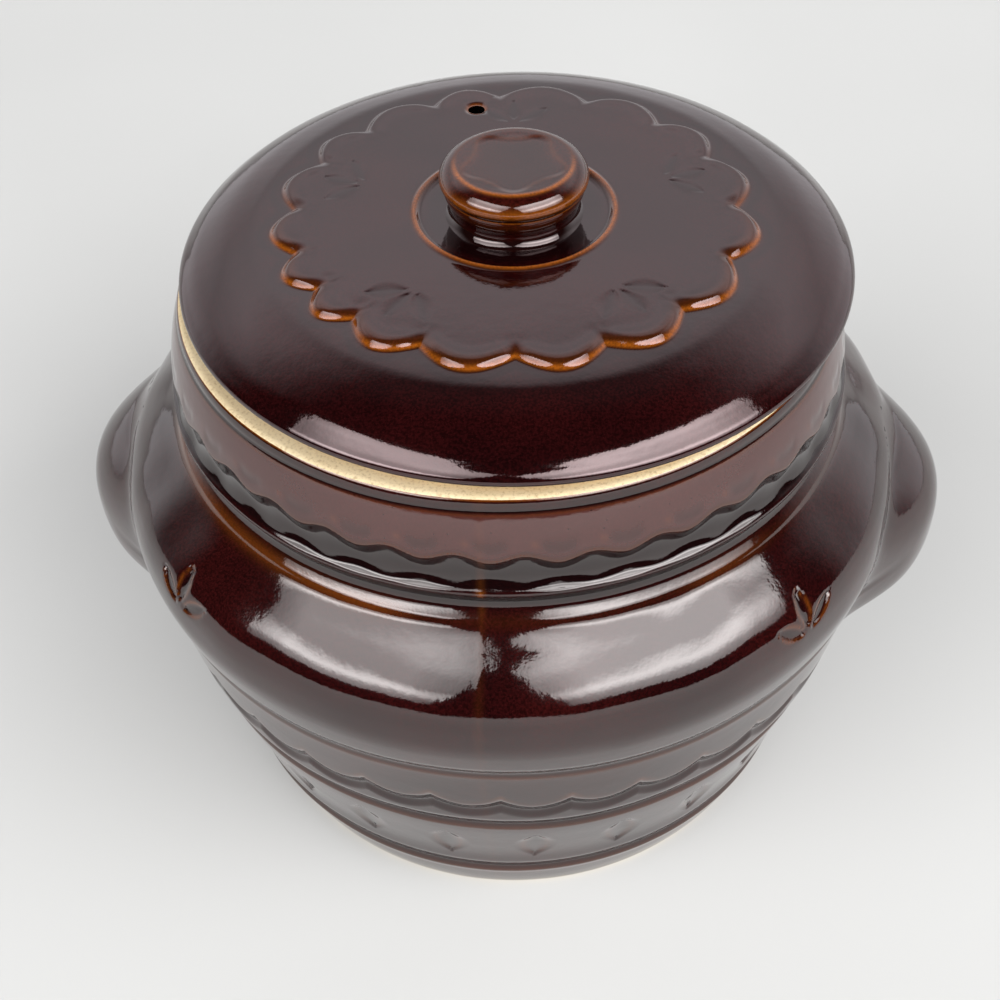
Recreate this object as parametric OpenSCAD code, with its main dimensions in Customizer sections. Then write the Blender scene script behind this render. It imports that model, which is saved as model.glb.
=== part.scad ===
/* [Pot body] */
// Height from the foot to the flat, unglazed rim seat
pot_h = 145; // [135:1:165]
// Outer radius at the widest part of the belly
belly_r = 95; // [93:0.5:102]
// Height of the widest part of the belly
belly_z = 91.5; // [88:0.5:96]
// Outer radius of the flat foot
foot_r = 71.5; // [66:0.5:74]
// Outer radius above the base groove
base_r = 77.4; // [75:0.2:80]
// Outer radius at the plain groove
waist_r = 86.3; // [84:0.2:88]
// How far the ridge under the belly stands back from the belly's radius
ridge_in = 2.4; // [1.5:0.1:5]
// Wall thickness
wall_t = 6.5; // [5:0.5:8]
// Floor thickness
floor_t = 8; // [6:0.5:12]
// Inner radius where the wall turns into the floor
floor_round = 14; // [8:1:20]

/* [Collar and rim] */
// Height of the collar, from its lower edge to the rim seat
collar_h = 24; // [20:1:30]
// Outer radius of the collar at its lower edge
collar_r = 79.3; // [78:0.1:82]
// How far the collar narrows from its lower edge to the rim bead
collar_taper = 2.2; // [0.5:0.1:3]
// Width of the channel between collar and shoulder
channel_w = 6.5; // [5:0.5:9]
// Depth of the channel
channel_d = 2.3; // [1:0.1:3]
// Outer radius of the shoulder's upper edge
shoulder_r = 79.5; // [78:0.1:82]
// Radius of the rim bead's round edge
bead_r = 2; // [1.5:0.1:2.6]
// Outer radius of the flat rim seat
seat_r = 74; // [73:0.1:74.6]
// Radius of the mouth
mouth_r = 66; // [64:0.5:67]
// Depth of the thickened rim inside the mouth
rim_depth = 7; // [5:0.5:10]

/* [Ribs and grooves] */
// Height of the ridge under the belly
ridge_z = 80; // [76:1:82]
// Height of the upper groove, at the border on the lower body
border_z = 62; // [60:1:66]
// Height of the plain groove
groove_z = 50; // [46:1:53]
// Height of the base groove
base_groove_z = 17.5; // [14:0.5:22]
// Radius of the grooves' round section
groove_r = 4; // [2:0.2:5]
// Depth of the grooves
groove_d = 1; // [0.5:0.1:1.4]

/* [Lug handles] */
// How far a lug reaches past the belly
lug_reach = 12.8; // [9:0.2:15]
// Outline radius of a lug, seen from above
lug_r = 35; // [32:1:42]
// Height of a lug's outermost line
lug_z = 78; // [74:1:84]
// Rise of a lug above its outermost line
lug_rise = 20; // [16:1:22]
// Drop of a lug below its outermost line
lug_drop = 12; // [8:1:14]
// How far a lug draws in towards its top
lug_round = 15; // [12:0.5:18]
// How far a lug draws in towards its underside
lug_base_round = 3; // [1:0.5:5]

/* [Lid] */
// Radius of the lid's flat sole
lid_sole_r = 70.6; // [69.5:0.1:71.5]
// Radius of the lid at its round edge
lid_edge_r = 75.1; // [74:0.1:78]
// Height of the lid's round edge above the rim seat
lid_edge_h = 5.2; // [4:0.2:7]
// Height of the dome above the rim seat, outside the medallion
dome_h = 15; // [13:0.2:20]
// Thickness of the lid
lid_t = 5.5; // [4:0.5:7]
// Depth of the flange that drops into the mouth
flange_h = 6; // [4:0.5:9]
// Thickness of the flange
flange_t = 4; // [3:0.5:6]
// Radial play of the flange in the mouth
seat_play = 3; // [2.6:0.1:4]
// How far the lid rests off centre, within its play
lid_shift = 2.5; // [0:0.1:2.5]
// Radius of the steam hole
steam_r = 2; // [1:0.1:3]
// Distance of the steam hole from the lid's axis
steam_at = 43; // [38:0.5:45]

/* [Medallion] */
// Number of scallops round the medallion
scallop_n = 17; // [12:1:20]
// Radius of the medallion over the scallops
medallion_r = 53.6; // [52:0.1:56]
// Radius of one scallop
scallop_r = 10; // [9.2:0.2:12]
// Height of the medallion above the dome
medallion_h = 1.6; // [1:0.1:2.5]
// Radius of the raised ring round the knob
ring_r = 21.7; // [20.5:0.1:24]
// Radius of the raised ring's round section
ring_bead = 0.8; // [0.5:0.1:1.2]
// Depth of the dish inside the raised ring
dish_d = 0.6; // [0.3:0.1:1]

/* [Knob] */
// Radius of the knob at its widest
knob_r = 16.7; // [15:0.1:18]
// Height of the knob above the dish
knob_h = 12.6; // [11:0.1:15]
// Radius of the knob's foot
knob_foot_r = 13; // [11:0.2:14]
// Radius over the lobes of the star pressed into the knob
star_r = 12; // [10:0.2:12.6]
// Number of lobes of the star
star_n = 5; // [4:1:8]
// Depth of the star
star_d = 0.9; // [0.4:0.1:1.5]

/* [Pressed leaves] */
// Number of leaf sprigs on the medallion
sprig_n = 5; // [3:1:7]
// Distance of the sprigs from the lid's axis
sprig_at = 35; // [33:0.5:38]
// Length of a leaf
leaf_l = 9; // [6:0.5:10]
// Width of a leaf
leaf_w = 3.2; // [2:0.2:4]
// Depth of a leaf
leaf_d = 0.7; // [0.4:0.1:1]

/* [Hidden] */
$fn = 96;

// Angle of the lid on the pot, taken at a notch between two scallops
lid_turn = 4;
// Direction in which the lid rests off centre
shift_turn = -18;
// Angle of the steam hole, measured like the lid's turn from the front
steam_turn = -168;
// Space cut beyond a face so that a cut goes right through
cut = 1;
// Steps of a smooth curve between two of its points
curve_steps = 8;
// Rise of the foot's rounded lip, and how far it stands out
lip_h = 3;
lip_out = 2.6;
// Slant of the inner rim, from the mouth to the collar's bore
rim_slant = 5;

ridge_r = belly_r - ridge_in;
collar_z = pot_h - collar_h;
shoulder_z = collar_z - channel_w;
channel_z = collar_z - channel_w / 2;
bead_z = pot_h - bead_r;
collar_top_r = collar_r - collar_taper;
flange_r = mouth_r - seat_play;
medallion_z = dome_h + medallion_h;
dish_z = medallion_z - dish_d;

// Smooth curve through points, by the cubic rule of Catmull and Rom
function at(p, i) = p[max(0, min(len(p) - 1, i))];
function cubic(a, b, c, d, t) =
    (2 * b + (c - a) * t + (2 * a - 5 * b + 4 * c - d) * t * t
    + (3 * b - a - 3 * c + d) * t * t * t) / 2;
function smooth(p) = [
    for (i = [0 : len(p) - 2], s = [0 : curve_steps - 1])
        cubic(at(p, i - 1), at(p, i), at(p, i + 1), at(p, i + 2), s / curve_steps),
    p[len(p) - 1]
];
// Point on the line from a to b, at share t, moved out by a bow
function between(a, b, t, bow) = a + (b - a) * t + [bow, 0];

foot_lip = [foot_r + lip_out, lip_h];
base_p = [base_r, base_groove_z];
waist_p = [waist_r, groove_z];
ridge_p = [ridge_r, ridge_z];
belly_p = [belly_r, belly_z];
shoulder_p = [shoulder_r, shoulder_z];
border_share = (border_z - groove_z) / (ridge_z - groove_z);
// Bow of the straight stretches of the lower body, and of the shoulder
side_bow = 0.3;
shoulder_bow = 2.7;
border_p = between(waist_p, ridge_p, border_share, side_bow);

// Outer side from the foot to the collar's lower edge
side = smooth([
    [foot_r, 0],
    foot_lip,
    base_p,
    between(base_p, waist_p, 0.5, side_bow),
    waist_p,
    border_p,
    ridge_p,
    belly_p,
    between(belly_p, shoulder_p, 0.32, shoulder_bow),
    between(belly_p, shoulder_p, 0.52, shoulder_bow * 0.8),
    between(belly_p, shoulder_p, 0.72, shoulder_bow * 0.4),
    shoulder_p,
    [shoulder_r - channel_d * 0.7, shoulder_z + channel_w * 0.22],
    [shoulder_r - channel_d, channel_z],
    [collar_r - channel_d * 0.8, collar_z - channel_w * 0.15],
    [collar_r, collar_z]
]);

// Inner side from the rim to the floor
neck_r = collar_top_r - wall_t;
inside = smooth([
    [neck_r, pot_h - rim_depth - rim_slant],
    [neck_r, collar_z],
    between(belly_p, shoulder_p, 0.5, shoulder_bow / 2 - wall_t * 1.3),
    belly_p - [wall_t, 0],
    ridge_p - [wall_t, 0],
    waist_p - [wall_t, 0],
    base_p - [wall_t, 0] + [0, floor_round / 2],
    [base_r - wall_t - floor_round / 3, floor_t + floor_round / 3],
    [base_r - wall_t - floor_round, floor_t]
]);

// Outside of the pot as one solid, which also cuts the roots of the lugs
module pot_outside() {
    rotate_extrude()
        difference() {
            polygon(concat(
                [[0, 0]],
                side,
                [[collar_top_r, bead_z - bead_r],
                 [seat_r, bead_z - bead_r / 2],
                 [0, bead_z]]
            ));
            groove_cut(base_p);
            groove_cut(waist_p);
            groove_cut(border_p);
        }
    rotate_extrude() {
        translate([seat_r, bead_z]) circle(r = bead_r);
        translate([0, bead_z - bead_r]) square([seat_r, 2 * bead_r]);
    }
}

// Round groove beside a point of the side
module groove_cut(p) {
    translate(p + [groove_r - groove_d, 0]) circle(r = groove_r);
}

module pot_body() {
    color("#3a1512")
        difference() {
            pot_outside();
            rotate_extrude()
                polygon(concat(
                    [[0, pot_h + cut],
                     [mouth_r, pot_h + cut],
                     [mouth_r, pot_h - rim_depth]],
                    inside,
                    [[0, floor_t]]
                ));
        }
}

// Edge of a lug below and above its outermost line, as shares in and down, and in and up
lug_fall = [[1, 1], [0.5, 0.87], [0.13, 0.5]];
lug_slope = [[0.1, 0.5], [0.37, 0.75], [0.66, 0.9], [1, 1]];
// Edge of a lug from its flat underside to where its sloping top meets the belly
lug_edge = smooth(concat(
    [for (s = lug_fall) [lug_r - lug_base_round * s[0], -lug_drop * s[1]]],
    [[lug_r, 0]],
    [for (s = lug_slope) [lug_r - lug_round * s[0], lug_rise * s[1]]]
));

// Rounded lug, its root cut to the form of the belly
module lug() {
    color("#3a1512")
        difference() {
            translate([belly_r + lug_reach - lug_r, 0, lug_z])
                rotate_extrude()
                    polygon(concat([[0, -lug_drop]], lug_edge, [[0, lug_rise]]));
            pot_outside();
        }
}

module handle_left() {
    mirror([1, 0, 0]) lug();
}

module handle_right() {
    lug();
}

// Fall of the dome from the medallion's edge to the lid's edge, as shares out and down
dome_fall = [[0.2, 0.06], [0.52, 0.24], [0.78, 0.53], [0.96, 0.83]];
// Top of the dome, from under the medallion to the round edge and in to the sole
dome = smooth(concat(
    [[medallion_r - 2 * cut, dome_h]],
    [for (s = dome_fall)
        [medallion_r + (lid_edge_r - medallion_r) * s[0],
         dome_h - (dome_h - lid_edge_h) * s[1]]],
    [[lid_edge_r, lid_edge_h],
     [(lid_edge_r * 2 + lid_sole_r) / 3, lid_edge_h * 0.42],
     [lid_sole_r, 0]]
));
// Thickening of the lid at the flange's root
root_t = 3.4;
// Underside, from the flange to the middle
under_z = dome_h - lid_t;
under = smooth([
    [flange_r - flange_t, under_z - root_t],
    [flange_r - flange_t - 2 * root_t, under_z - root_t / 3],
    [medallion_r / 2, under_z],
    [0, under_z]
]);

// Brings a piece of the lid to where the lid rests
module on_pot() {
    translate([lid_shift * cos(shift_turn), lid_shift * sin(shift_turn), pot_h])
        rotate([0, 0, lid_turn])
            children();
}

// Outline of the scalloped medallion
module medallion_outline() {
    circle(r = medallion_r - scallop_r);
    for (i = [0 : scallop_n - 1])
        rotate((i + 0.5) * 360 / scallop_n - 90)
            translate([medallion_r - scallop_r, 0])
                circle(r = scallop_r);
}

// Leaf with two pointed ends
module leaf() {
    bend = (leaf_l * leaf_l / 4 + leaf_w * leaf_w / 4) / leaf_w;
    intersection() {
        translate([0, bend - leaf_w / 2]) circle(r = bend);
        translate([0, leaf_w / 2 - bend]) circle(r = bend);
    }
}

// Sprig of three leaves that meet at its foot
module sprig() {
    for (a = [-50, 0, 50])
        rotate(a)
            translate([leaf_l / 2 + leaf_w / 2, 0])
                leaf();
}

module lid() {
    color("#4a1a14")
        on_pot()
            difference() {
                union() {
                    rotate_extrude()
                        polygon(concat(
                            [[0, dome_h]],
                            dome,
                            [[flange_r, 0],
                             [flange_r, -flange_h],
                             [flange_r - flange_t, -flange_h]],
                            under
                        ));
                    translate([0, 0, dome_h - cut])
                        linear_extrude(medallion_h + cut)
                            medallion_outline();
                    rotate_extrude()
                        translate([ring_r, medallion_z]) circle(r = ring_bead, $fn = 32);
                }
                translate([0, 0, dish_z])
                    cylinder(h = medallion_h + ring_bead + cut, r = ring_r - ring_bead / 2);
                rotate([0, 0, steam_turn - 90])
                    translate([steam_at, 0, 0])
                        cylinder(h = medallion_z + cut, r = steam_r);
                for (i = [0 : sprig_n - 1])
                    rotate([0, 0, (i + 0.5) * 360 / sprig_n - 90])
                        translate([sprig_at, 0, medallion_z - leaf_d])
                            linear_extrude(leaf_d + cut)
                                sprig();
            }
}

// Curve of the knob's side, as shares of its radius and of its height
knob_curve = [
    [0.868, 0.12], [0.94, 0.28], [0.928, 0.42], [0.982, 0.52], [1, 0.68], [0.952, 0.87], [0.856, 0.985]
];
// How far the knob's rounded edge reaches in over its top
knob_crown = 3.6;
// Side of the knob from its foot to its top, with the parting between two bulges
knob_side = smooth(concat(
    [[knob_foot_r, 0]],
    [for (s = knob_curve) [knob_r * s[0], knob_h * s[1]]],
    [[knob_r - knob_crown, knob_h]]
));

// Radii of the star's lobes and of its middle, as shares of the whole
lobe_share = 0.36;
middle_share = 0.6;

// Star with round lobes
module star() {
    lobe_r = star_r * lobe_share;
    circle(r = star_r * middle_share);
    for (i = [0 : star_n - 1])
        rotate(i * 360 / star_n - 90)
            translate([star_r - lobe_r, 0])
                circle(r = lobe_r);
}

module lid_knob() {
    color("#5a2413")
        on_pot()
            translate([0, 0, dish_z])
                difference() {
                    rotate_extrude()
                        polygon(concat([[0, 0]], knob_side, [[0, knob_h]]));
                    translate([0, 0, knob_h - star_d])
                        linear_extrude(star_d + cut)
                            star();
                }
}

pot_body();
handle_left();
handle_right();
lid();
lid_knob();
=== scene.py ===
import math

import bpy
import numpy as np
from mathutils import Matrix, Vector


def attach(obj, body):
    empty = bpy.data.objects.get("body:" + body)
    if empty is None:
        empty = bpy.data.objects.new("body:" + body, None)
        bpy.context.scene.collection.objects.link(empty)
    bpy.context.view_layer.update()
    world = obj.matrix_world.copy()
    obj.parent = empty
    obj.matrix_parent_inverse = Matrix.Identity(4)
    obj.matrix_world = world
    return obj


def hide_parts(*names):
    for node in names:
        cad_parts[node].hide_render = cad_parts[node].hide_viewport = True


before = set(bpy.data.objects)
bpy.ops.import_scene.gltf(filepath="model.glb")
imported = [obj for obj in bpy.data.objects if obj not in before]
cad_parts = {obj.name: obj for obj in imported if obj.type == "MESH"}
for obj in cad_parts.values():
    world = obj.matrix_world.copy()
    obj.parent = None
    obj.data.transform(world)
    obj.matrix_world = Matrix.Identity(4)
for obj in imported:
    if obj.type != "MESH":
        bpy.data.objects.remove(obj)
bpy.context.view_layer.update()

MM = 0.001
TAU = 2 * math.pi

# ---------------------------------------------------------------- sizes, mm
SEAT_Z = 145.0            # the flat rim seat, which the lid rests on
SEAT_R = 73.0             # its outer edge, where the glaze ends
BARE_Z = 144.62           # the bare seat turns a little over its edge, down to this height
MOUTH_R = 66.0
FLOOR = 8.0               # top of the pot's floor
SKIN_R = 90.0             # mean radius of the shoulder, which turns angles into lengths

LOBES = 35                # scallops round the collar and the lower body
PITCH = TAU / LOBES
COLUMNS = LOBES * 22      # steps round the pot
COLLAR_PHASE = math.radians(1.5)
LOWER_PHASE = math.radians(2.2)
SAG_Z = 131.6             # lower edge of the collar, at the notches between its scallops
COLLAR_HANG = 1.7         # how far a scallop hangs down from there
BAND_Z = 122.8            # foot of the recessed band under the collar
BAND_DEPTH = 0.45
LOWER_Z = 60.4            # scalloped step of the lower body, at its notches
LOWER_HANG, LOWER_DEPTH = 3.1, 0.85
CHANNEL_Z = 118.2         # middle of the channel between shoulder and collar
SHOULDER_Z = 113.9        # the shoulder's upper edge, where its glaze runs thin
CREASE_Z = 142.0          # crease under the rim bead
COLLAR_TOP_Z = 141.2      # the collar's upper edge, just below it
BEAD_EDGE_Z = 144.5       # last of the glaze before the bare seat

# Plain steps round the base and the lower body: height, waver, depth and fade above
PLAIN_STEPS = ((48.1, 0.35, 0.95, 6.0), (15.3, 0.3, 1.0, 5.5), (77.6, 0.5, 0.5, 4.0))
STEP_BELOW = 1.9          # how far down such a step takes to come out again
STEP_POOL = 0.45          # share of pooled glaze in a step

SPRIG_Z = 97.5            # height of the shoulder's sprigs
SPRIG_AZ = (-48, 48, -132, 132)      # their directions, degrees from the front
SPRIG_LEAVES = ((0, 0.0, 4.4), (55, 5.0, 1.2), (-55, -5.0, 1.2))   # lean and place of each leaf
BAND_LEAVES = 24          # upright leaves round the band above the base
BAND_LEAF_Z = 32.5
BAND_LEAF_R = 81.0
SPRIG_LEAF, BAND_LEAF, LID_LEAF = (9.5, 3.8), (16.0, 6.4), (9.0, 3.2)   # length and width

LUG_REACH, LUG_R, LUG_Z = 12.8, 35.0, 78.0
LUG_RISE, LUG_ROUND = 20.0, 15.0     # rise of a lug, and how far it draws in towards its top
LUG_DROP, LUG_UNDER = 12.0, 3.0      # drop of a lug, and how far it draws in below
LUG_OVER, LUG_BELOW = 2.5, 4.0       # how steeply its disc shrinks past the rise and the drop
BELLY_R = 95.0
LUG_X = BELLY_R + LUG_REACH - LUG_R
LUG_FILLET = 9.0
LUG_FADE = 1.5            # the belly's own pattern dies away this far out on a lug
LUG_SINK = 0.12           # the pot lies this much lower with each step in under a lug
SINK_STEPS = 3

LID_TURN = math.radians(4)
LID_OFF, LID_OFF_AZ = 2.5, math.radians(-18)
LID_AT = (LID_OFF * math.cos(LID_OFF_AZ), LID_OFF * math.sin(LID_OFF_AZ))
LID_COLUMNS = 680
LID_TOP_Z, LID_UNDER_Z = 8.0, 7.0    # the domed part lies above these, outside and inside
RING_R, RING_HEIGHT = 22.0, 0.4
DISH_R, DISH_DEPTH = 18.0, 0.75      # the dish inside the ring; glaze fills it to DISH_R
MEDALLION_R = 48.9        # of its notches, from which the scallops rise
SCALLOP_RISE = 4.5
MEDALLION_HEIGHT = 1.25
NOTCH_R = 50.0            # turns the angle from a notch into a length
LID_SPRIGS = 5
LID_SPRIG_R = 35.0
KNOB_COLUMNS = 280

STEAM_AZ, STEAM_AT, STEAM_R = math.radians(-168), 43.0, 2.0
HOLE_SPAN = 3             # cells are drawn towards a circle out to this many radii
HOLE_BLEND = 2.9          # and from here on not at all
HOLE_LIP = 0.35           # width of its rounded edge, in radii

# Notches between the scallops of the medallion, degrees from the front
NOTCHES = (-176, -157, -134.6, -115, -93, -73.6, -57.6, -42.4, -23,
           0, 21.6, 44, 68, 91, 114.6, 136, 159)


# ---------------------------------------------------------------- curves
def smooth_curve(points, steps=24):
    """Catmull-Rom curve through points, as an array of places."""
    p = np.array(points, float)
    p = np.vstack([2 * p[0] - p[1], p, 2 * p[-1] - p[-2]])
    t = np.linspace(0, 1, steps, endpoint=False)[:, None]
    rows = []
    for a, b, c, d in zip(p[:-3], p[1:-2], p[2:-1], p[3:]):
        rows.append((2 * b + (c - a) * t + (2 * a - 5 * b + 4 * c - d) * t * t
                     + (3 * b - a - 3 * c + d) * t ** 3) / 2)
    rows.append(p[-2:-1])
    return np.vstack(rows)


def spaced(curve, spacing):
    """The same curve with rows as far apart as spacing(radius, height) says."""
    step = np.hypot(*np.diff(curve, axis=0).T)
    length = np.concatenate([[0], np.cumsum(step)])
    mid = (curve[1:] + curve[:-1]) / 2
    need = step / np.array([spacing(r, z) for r, z in mid])
    count = np.concatenate([[0], np.cumsum(need)])
    n = max(2, int(round(count[-1])))
    at = np.interp(np.linspace(0, count[-1], n + 1), count, length)
    return np.stack([np.interp(at, length, curve[:, k]) for k in (0, 1)], 1)


def first_above(value, table, rest):
    """The second entry of the first (limit, entry) whose limit is above value, or rest."""
    for limit, entry in table:
        if value < limit:
            return entry
    return rest


def ease(x, lo, hi):
    """0 below lo, 1 above hi, smooth between."""
    t = np.clip((x - lo) / (hi - lo), 0, 1)
    return t * t * (3 - 2 * t)


def fall(x, lo, hi):
    """1 below lo, 0 above hi, smooth between."""
    return ease(-x, -hi, -lo)


def bell(x, width):
    """1 at 0, dying away on both sides."""
    return np.exp(-(x / width) ** 2)


def wrap(angle):
    """The same angle between minus and plus half a turn."""
    return (angle + math.pi) % TAU - math.pi


def in_axes(x, y, angle):
    """x and y in axes turned by an angle."""
    c, s = math.cos(angle), math.sin(angle)
    return x * c + y * s, -x * s + y * c


class Noise:
    """Seeded smooth noise round the object: a sum of waves in angle and height."""

    def __init__(self, seed, waves, turns, rise):
        rng = np.random.default_rng(seed)
        self.k = rng.integers(1, turns + 1, waves)
        self.m = rng.uniform(-rise, rise, waves)
        self.p = rng.uniform(0, TAU, waves)
        self.a = rng.normal(0, 1, waves) / math.sqrt(waves)

    def __call__(self, az, z):
        total = np.zeros(np.broadcast(az, z).shape)
        for k, m, p, a in zip(self.k, self.m, self.p, self.a):
            total += a * np.sin(k * az + m * z + p)
        return total


class Relief:
    """How far a surface stands proud, and how thin or pooled its glaze is; painted light and
    painted shade are carried in these shares too.
    """

    def __init__(self, across, along):
        shape = np.broadcast(across, along).shape
        self.high = np.zeros(shape)
        self.thin = np.zeros(shape)
        self.pool = np.zeros(shape)

    def thins(self, share):
        self.thin = np.maximum(self.thin, share)

    def pools(self, share):
        self.pool = np.maximum(self.pool, share)

    def keep_on(self, share):
        """Keeps this share of it all, place by place."""
        self.high = self.high * share
        self.thin = self.thin * share
        self.pool = self.pool * share


# ---------------------------------------------------------------- meshes
def turned(az, r, z):
    """Points at an angle from the front, a radius and a height, as a grid."""
    x, y, z = np.broadcast_arrays(r * np.sin(az), -r * np.cos(az), z)
    return np.stack([x, y, z], -1)


def flat(a):
    """A grid's rows and columns as one list."""
    return a.reshape(-1, *a.shape[2:])


def normals_of(points):
    """Unit normals of a grid [row, column, xyz] that closes round its columns."""
    du = np.roll(points, -1, 1) - np.roll(points, 1, 1)
    dv = np.gradient(points, axis=0)
    n = np.cross(du, dv)
    length = np.linalg.norm(n, axis=2, keepdims=True)
    return n / np.maximum(length, 1e-12)


def closed_faces(rows, columns, facing):
    """Quads of a grid that closes round its columns, and triangles that close its ends.

    The ends' middles are the two vertices after the grid's own. facing is 1 where
    normals_of points out of the piece, and -1 where it points into it.
    """
    i = np.arange(rows - 1)[:, None] * columns
    j = np.arange(columns)
    k = (j + 1) % columns
    quads = np.stack([i + j, i + k, i + columns + k, i + columns + j], -1).reshape(-1, 4)
    count = rows * columns
    last = count - columns
    tris = np.vstack([np.stack([np.full(columns, count), k, j], -1),
                      np.stack([j + last, k + last, np.full(columns, count + 1)], -1)])
    return quads[:, ::facing], tris[:, ::facing]


def with_middles(grid, first, last):
    """A grid's values as one list, with those of its two ends' middles added."""
    return np.concatenate([flat(grid), np.array([first, last], float)])


def make_mesh(name, verts, quads, tris, normals, fields, mats, index=None):
    """A mesh object from arrays, in mm; fields are named values at its vertices."""
    mesh = bpy.data.meshes.new(name)
    mesh.vertices.add(len(verts))
    mesh.vertices.foreach_set("co", (np.asarray(verts) * MM).astype(np.float32).ravel())
    loops = np.concatenate([quads.ravel(), tris.ravel()]).astype(np.int32)
    sizes = np.concatenate([np.full(len(quads), 4), np.full(len(tris), 3)])
    starts = np.concatenate([[0], np.cumsum(sizes)[:-1]]).astype(np.int32)
    mesh.loops.add(len(loops))
    mesh.loops.foreach_set("vertex_index", loops)
    mesh.polygons.add(len(sizes))
    mesh.polygons.foreach_set("loop_start", starts)
    mesh.polygons.foreach_set("use_smooth", np.ones(len(sizes), bool))
    for m in mats:
        mesh.materials.append(m)
    if index is not None:
        mesh.polygons.foreach_set("material_index", np.asarray(index, np.int32))
    mesh.update(calc_edges=True)
    mesh.validate()
    for key, values in fields.items():
        a = mesh.attributes.new(key, "FLOAT", "POINT")
        a.data.foreach_set("value", np.asarray(values, np.float32).ravel())
    mesh.normals_split_custom_set_from_vertices(np.asarray(normals, float))
    obj = bpy.data.objects.new(name, mesh)
    bpy.context.scene.collection.objects.link(obj)
    return obj


# ---------------------------------------------------------------- materials
def node(tree, kind, **values):
    """A node with its settings; in_Name sets the constant value of the input Name."""
    n = tree.nodes.new(kind)
    for key, value in values.items():
        if key.startswith("in_"):
            n.inputs[key[3:].replace("_", " ")].default_value = value
        else:
            setattr(n, key, value)
    return n


def feed(tree, value, socket):
    """Links a source to a socket, or sets the socket to a number or a colour."""
    if isinstance(value, bpy.types.NodeSocket):
        tree.links.new(value, socket)
    elif isinstance(value, tuple):
        socket.default_value = (*value, 1)
    else:
        socket.default_value = value


def grey(value):
    return (value, value, value)


def ramp(tree, source, stops):
    """A colour ramp on a value, from (place, colour) stops."""
    r = node(tree, "ShaderNodeValToRGB")
    tree.links.new(source, r.inputs["Fac"])
    e = r.color_ramp.elements
    while len(e) < len(stops):
        e.new(0.5)
    for item, (at, colour) in zip(e, stops):
        item.position = at
        item.color = (*colour, 1)
    return r.outputs["Color"]


def noise(tree, coords, scale, detail, rough=0.5):
    """Noise whose scale is in waves a metre."""
    n = node(tree, "ShaderNodeTexNoise", in_Scale=scale, in_Detail=detail,
             in_Roughness=rough)
    tree.links.new(coords, n.inputs["Vector"])
    return n.outputs["Fac"]


def math_node(tree, operation, a, b, clamp=False):
    n = node(tree, "ShaderNodeMath", operation=operation, use_clamp=clamp)
    for k, value in enumerate((a, b)):
        feed(tree, value, n.inputs[k])
    return n.outputs[0]


def map_range(tree, value, low, high, to_low, to_high, kind="LINEAR"):
    n = node(tree, "ShaderNodeMapRange", interpolation_type=kind, in_From_Min=low,
             in_From_Max=high, in_To_Min=to_low, in_To_Max=to_high)
    tree.links.new(value, n.inputs["Value"])
    return n.outputs["Result"]


def mix_colour(tree, share, a, b, blend="MIX"):
    """Colour a with a share of colour b on it."""
    n = node(tree, "ShaderNodeMix", data_type="RGBA", blend_type=blend)
    feed(tree, share, n.inputs["Factor"])
    for key, value in (("A", a), ("B", b)):
        feed(tree, value, [s for s in n.inputs if s.name == key and s.type == "RGBA"][0])
    return [s for s in n.outputs if s.type == "RGBA"][0]


def attribute(tree, name):
    return node(tree, "ShaderNodeAttribute", attribute_name=name).outputs["Fac"]


def axes_of(tree, vector):
    """The X, Y and Z outputs of a vector."""
    split = node(tree, "ShaderNodeSeparateXYZ")
    tree.links.new(vector, split.inputs[0])
    return split.outputs


def new_material(name):
    """A material, its nodes, its shader, and the place on the object in metres."""
    mat = bpy.data.materials.new(name)
    mat.use_nodes = True
    tree = mat.node_tree
    where = node(tree, "ShaderNodeTexCoord").outputs["Object"]
    return mat, tree, tree.nodes["Principled BSDF"], where


def bumps(tree, height, strength, distance, shader):
    n = node(tree, "ShaderNodeBump", in_Strength=strength, in_Distance=distance)
    tree.links.new(height, n.inputs["Height"])
    tree.links.new(n.outputs["Normal"], shader.inputs["Normal"])


# waves a metre of the glaze's clouds, its grain, its uneven skin and its pinholes
CLOUD_WAVES, GRAIN_WAVES, SKIN_WAVES, PIT_WAVES = 45, 1900, 260, 420
GRAIN_BUMP = 0.12                     # height of the grain, as a share of the skin's
GRAIN_SHAKE = 2.2                     # how unevenly the grain breaks up the thin glaze
PIT_SHARE = 0.6                       # how much a pinhole darkens the glaze
GLAZE_IOR = 1.72
GLAZE_ROUGH = (0.045, 0.085)
SHEEN_PAINT = (0.105, 0.036, 0.032)          # a painted sheen on the collar's glaze: a pale brown that stands in for its reflection of the floor and wall


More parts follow.
